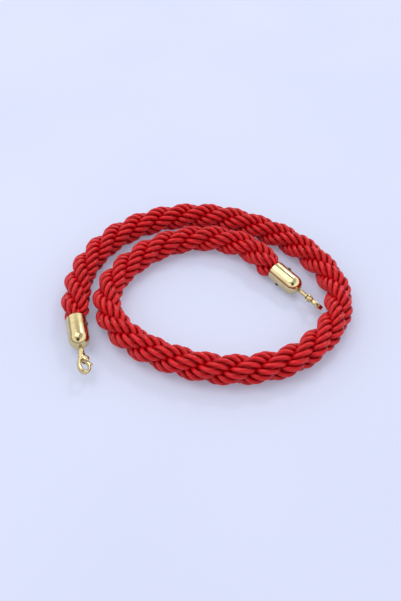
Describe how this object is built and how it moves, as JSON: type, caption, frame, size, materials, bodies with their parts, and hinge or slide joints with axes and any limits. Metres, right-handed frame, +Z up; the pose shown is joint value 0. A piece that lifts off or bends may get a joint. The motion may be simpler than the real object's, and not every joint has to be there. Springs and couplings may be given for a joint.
{
  "type": "barrier rope",
  "caption": "Thick twisted satin rope laid in a flat spiral, with a domed brass cap and a swivelling brass snap hook on each end, for hanging between barrier posts.",
  "frame": {"origin": "on the floor, under the middle of the coiled rope's footprint", "axes": "+Z up; the rope lies in a flat spiral on the floor, its longest side along X; the outer end is at -X and the inner end points towards +X and -Y"},
  "size_m": [0.3866, 0.3312, 0.035],
  "materials": {
    "rope_satin": "satin twisted yarn",
    "polished_brass": "polished",
    "dark_steel": "dark oxide",
    "zinc_steel": "zinc plated",
    "spring_steel": "bright wire",
    "binding_tape": "cloth tape",
    "rope_core": "squeezed rope end"
  },
  "bodies": {
    "rope_and_caps": {"rope": "rope_satin", "left_end_cap": "polished_brass", "left_bound_rope_end": "rope_core", "left_binding_tape": "binding_tape", "left_cap_screw_a": "dark_steel", "left_cap_screw_b": "dark_steel", "left_swivel_washer": "zinc_steel", "right_end_cap": "polished_brass", "right_bound_rope_end": "rope_core", "right_binding_tape": "binding_tape", "right_cap_screw_a": "dark_steel", "right_cap_screw_b": "dark_steel", "right_swivel_washer": "zinc_steel"},
    "left_swivel_hook": {"left_hook": "polished_brass", "left_swivel_nut": "zinc_steel", "left_gate_pin": "polished_brass", "left_gate_spring": "spring_steel"},
    "left_snap_gate": {"left_gate": "polished_brass"},
    "right_swivel_hook": {"right_hook": "polished_brass", "right_swivel_nut": "zinc_steel", "right_gate_pin": "polished_brass", "right_gate_spring": "spring_steel"},
    "right_snap_gate": {"right_gate": "polished_brass"}
  },
  "joints": [
    {"name": "left_hook_swivel", "type": "hinge", "parent": "rope_and_caps", "child": "left_swivel_hook", "pos_m": [-0.15823, -0.1125, 0.0175], "axis": [0.2504, -0.9681, 0], "continuous": true},
    {"name": "left_gate_hinge", "type": "hinge", "parent": "left_swivel_hook", "child": "left_snap_gate", "pos_m": [-0.15044, -0.13156, 0.0159], "axis": [-0.4841, -0.1252, -0.866], "range_deg": [0, 25], "stiffness_Nm_per_rad": 0.03, "springref_deg": -20.05},
    {"name": "right_hook_swivel", "type": "hinge", "parent": "rope_and_caps", "child": "right_swivel_hook", "pos_m": [0.12533, -0.00955, 0.01493], "axis": [0.6219, -0.7819, -0.0436], "continuous": true},
    {"name": "right_gate_hinge", "type": "hinge", "parent": "right_swivel_hook", "child": "right_snap_gate", "pos_m": [0.13654, -0.02681, 0.01656], "axis": [0.6334, 0.4695, 0.6151], "range_deg": [0, 25], "stiffness_Nm_per_rad": 0.03, "springref_deg": -20.05}
  ]
}
